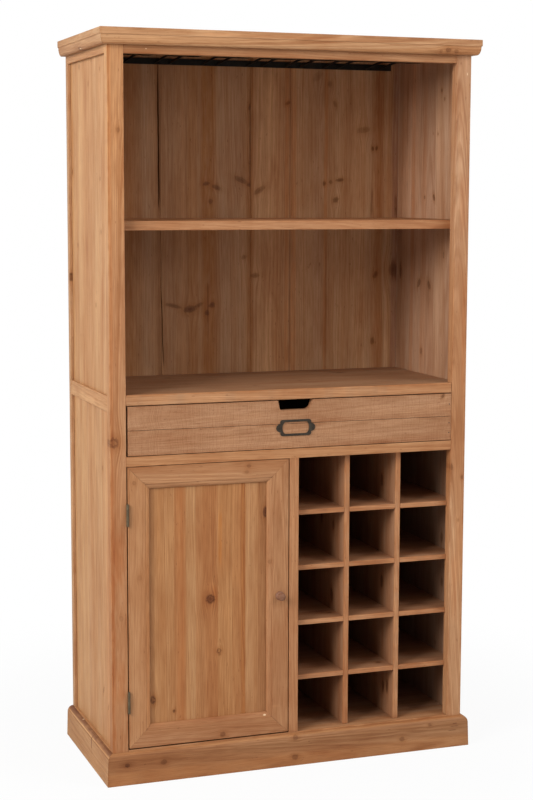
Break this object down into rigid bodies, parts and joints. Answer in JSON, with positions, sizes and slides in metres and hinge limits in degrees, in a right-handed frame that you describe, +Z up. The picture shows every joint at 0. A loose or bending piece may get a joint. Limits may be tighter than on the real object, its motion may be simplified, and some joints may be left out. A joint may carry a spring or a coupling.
{
  "type": "storage cabinet",
  "caption": "Tall pine wine cabinet: open hutch with a shelf and a stemware rack above a full-width drawer, a panelled door and a bottle grid.",
  "frame": {"origin": "on the floor, at the centre of the bounding box seen from above", "axes": "+Z up; -Y out of the front, where the door, drawer and bottle cells are; +X to the right seen from the front"},
  "size_m": [0.9712, 0.4366, 1.8],
  "materials": {
    "pine_front": "waxed, warm light brown, knotty",
    "pine_side": "waxed, pale, knotty",
    "pine_inside": "waxed, darker inside",
    "old_brass": "aged, satin",
    "dark_bronze": "dark antique, satin",
    "black_steel": "black, satin"
  },
  "bodies": {
    "carcass": {"back_board_1": "pine_inside", "back_board_2": "pine_inside", "back_board_3": "pine_inside", "back_board_4": "pine_inside", "base_front": "pine_front", "base_left": "pine_side", "base_right": "pine_side", "bottom_board": "pine_front", "cornice_front": "pine_front", "cornice_left": "pine_side", "cornice_right": "pine_side", "cupboard_shelf": "pine_inside", "divider_board": "pine_front", "frieze_rail": "pine_front", "grid_shelf_1": "pine_inside", "grid_shelf_2": "pine_inside", "grid_shelf_3": "pine_inside", "grid_shelf_4": "pine_inside", "grid_upright_1": "pine_inside", "grid_upright_2": "pine_inside", "hutch_shelf": "pine_front", "left_bottom_rail": "pine_side", "left_drawer_guide": "pine_side", "left_front_stile": "pine_front", "left_lower_panel": "pine_side", "left_middle_rail": "pine_side", "left_rear_post": "pine_side", "left_top_rail": "pine_side", "left_upper_panel": "pine_side", "lower_hinge_fixed_leaf": "old_brass", "magnetic_catch": "black_steel", "right_bottom_rail": "pine_side", "right_drawer_guide": "pine_side", "right_front_stile": "pine_front", "right_lower_panel": "pine_side", "right_middle_rail": "pine_side", "right_rear_post": "pine_side", "right_top_rail": "pine_side", "right_upper_panel": "pine_side", "stemware_rack": "black_steel", "top_board": "pine_front", "under_drawer_board": "pine_front", "upper_hinge_fixed_leaf": "old_brass", "worktop": "pine_front"},
    "door": {"door_bottom_rail": "pine_front", "door_knob": "pine_front", "door_left_stile": "pine_front", "door_panel": "pine_front", "door_right_stile": "pine_front", "door_strike_plate": "old_brass", "door_top_rail": "pine_front", "lower_hinge_door_leaf": "old_brass", "upper_hinge_door_leaf": "old_brass"},
    "drawer": {"drawer_back": "pine_inside", "drawer_bottom": "pine_inside", "drawer_left_side": "pine_inside", "drawer_lower_front": "pine_front", "drawer_right_side": "pine_inside", "drawer_upper_front": "pine_front", "label_holder": "dark_bronze"}
  },
  "joints": [
    {"name": "door_hinge", "type": "hinge", "parent": "carcass", "child": "door", "pos_m": [-0.4243, -0.19995, 0.0852], "axis": [0, 0, -1], "range_deg": [0, 110]},
    {"name": "drawer_slide", "type": "slide", "parent": "carcass", "child": "drawer", "axis": [0, -1, 0], "range_m": [0, 0.3]}
  ]
}
